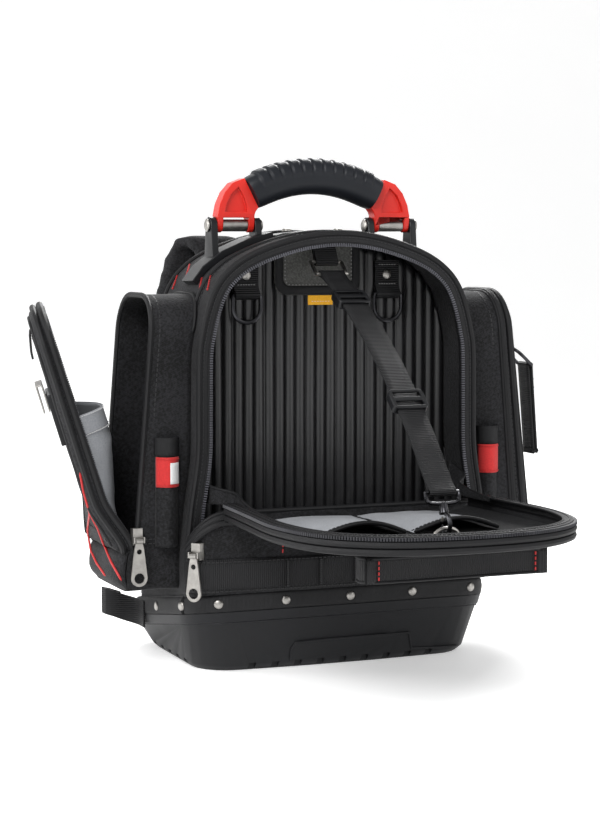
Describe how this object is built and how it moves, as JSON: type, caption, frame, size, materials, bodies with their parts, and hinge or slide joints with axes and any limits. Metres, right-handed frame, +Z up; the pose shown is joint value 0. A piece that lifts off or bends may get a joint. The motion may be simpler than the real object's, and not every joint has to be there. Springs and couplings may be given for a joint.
{
  "type": "tool backpack",
  "caption": "Open free-standing tool backpack on a moulded tub, with a folding carrying handle, a flap held level by a stay strap, and side pockets.",
  "frame": {"origin": "centre of the tub's flat bottom, on the surface that the pack stands on", "axes": "+Z up, -Y towards the open front, +X to the right of someone facing the pack"},
  "size_m": [0.5027, 0.4902, 0.4629],
  "materials": {
    "cordura": "heavy woven nylon, matte black",
    "webbing": "black webbing and tape, slightly shiny weave",
    "ribbed_lining": "black cloth over padded ribs",
    "grey_cloth": "light grey lining cloth",
    "patch_cloth": "grey canvas with a black bound edge",
    "orange_cloth": "plain orange label cloth",
    "tub_plastic": "moulded, fine grain, dark grey",
    "black_plastic": "moulded black, soft sheen",
    "grip_rubber": "ribbed soft grip, dark grey",
    "red_plastic": "moulded red, satin",
    "bright_steel": "bright plated steel",
    "black_steel": "black plated wire, glossy"
  },
  "bodies": {
    "bag": {"base_tub": "tub_plastic", "rivet_band": "webbing", "main_shell": "cordura", "main_zip_tape": "webbing", "ribbed_panel": "ribbed_lining", "top_patch": "patch_cloth", "patch_label": "orange_cloth", "front_apron": "cordura", "apron_web": "webbing", "flap_tray": "cordura", "flap_zip_tape": "webbing", "flap_belt": "webbing", "top_plate": "black_plastic", "left_door": "cordura", "left_door_pocket": "grey_cloth", "clip_plate": "black_plastic", "tape_clip": "bright_steel", "door_tab": "webbing", "right_door": "cordura", "hang_tab": "webbing", "hang_ring": "black_steel", "hang_strap": "webbing", "stay_anchor": "webbing", "stay_ring": "bright_steel", "stay_strap": "webbing", "stay_buckle_upper": "black_plastic", "stay_buckle_lower": "black_plastic", "stay_hook": "black_steel", "flap_ring": "bright_steel", "flap_ring_tab": "webbing", "main_slider": "bright_steel", "pocket_slider": "bright_steel", "back_pad": "cordura", "ring_tab_left": "webbing", "ring_left": "black_steel", "flap_pocket_left": "grey_cloth", "flap_wing_left": "cordura", "bracket_left": "black_plastic", "pin_left": "bright_steel", "left_pocket": "cordura", "left_sleeve": "webbing", "shoulder_strap_left": "cordura", "web_tail_left": "webbing", "ring_tab_right": "webbing", "ring_right": "black_steel", "flap_pocket_right": "grey_cloth", "flap_wing_right": "cordura", "bracket_right": "black_plastic", "pin_right": "bright_steel", "right_pocket": "cordura", "right_sleeve": "webbing", "shoulder_strap_right": "cordura", "web_tail_right": "webbing"},
    "handle": {"grip": "grip_rubber", "arm_left": "red_plastic", "arm_right": "red_plastic"},
    "main_zip_pull": {"main_pull": "bright_steel"},
    "pocket_zip_pull": {"pocket_pull": "bright_steel"},
    "hook_gate": {"stay_gate": "bright_steel"}
  },
  "joints": [
    {"name": "handle_pivot", "type": "hinge", "parent": "bag", "child": "handle", "pos_m": [0, -0.014, 0.4015], "axis": [1, 0, 0], "range_deg": [-68, 68]},
    {"name": "main_pull_swing", "type": "hinge", "parent": "bag", "child": "main_zip_pull", "pos_m": [-0.14781, -0.09783, 0.1093], "axis": [-0.6428, 0.766, 0], "range_deg": [0, 110]},
    {"name": "pocket_pull_swing", "type": "hinge", "parent": "bag", "child": "pocket_zip_pull", "pos_m": [-0.189, -0.0684, 0.121], "axis": [-1, 0, 0], "range_deg": [0, 110]},
    {"name": "hook_gate_hinge", "type": "hinge", "parent": "bag", "child": "hook_gate", "pos_m": [0, -0.29625, 0.16212], "axis": [-1, 0, 0], "range_deg": [0, 25], "stiffness_Nm_per_rad": 0.01, "springref_deg": -17.19}
  ]
}
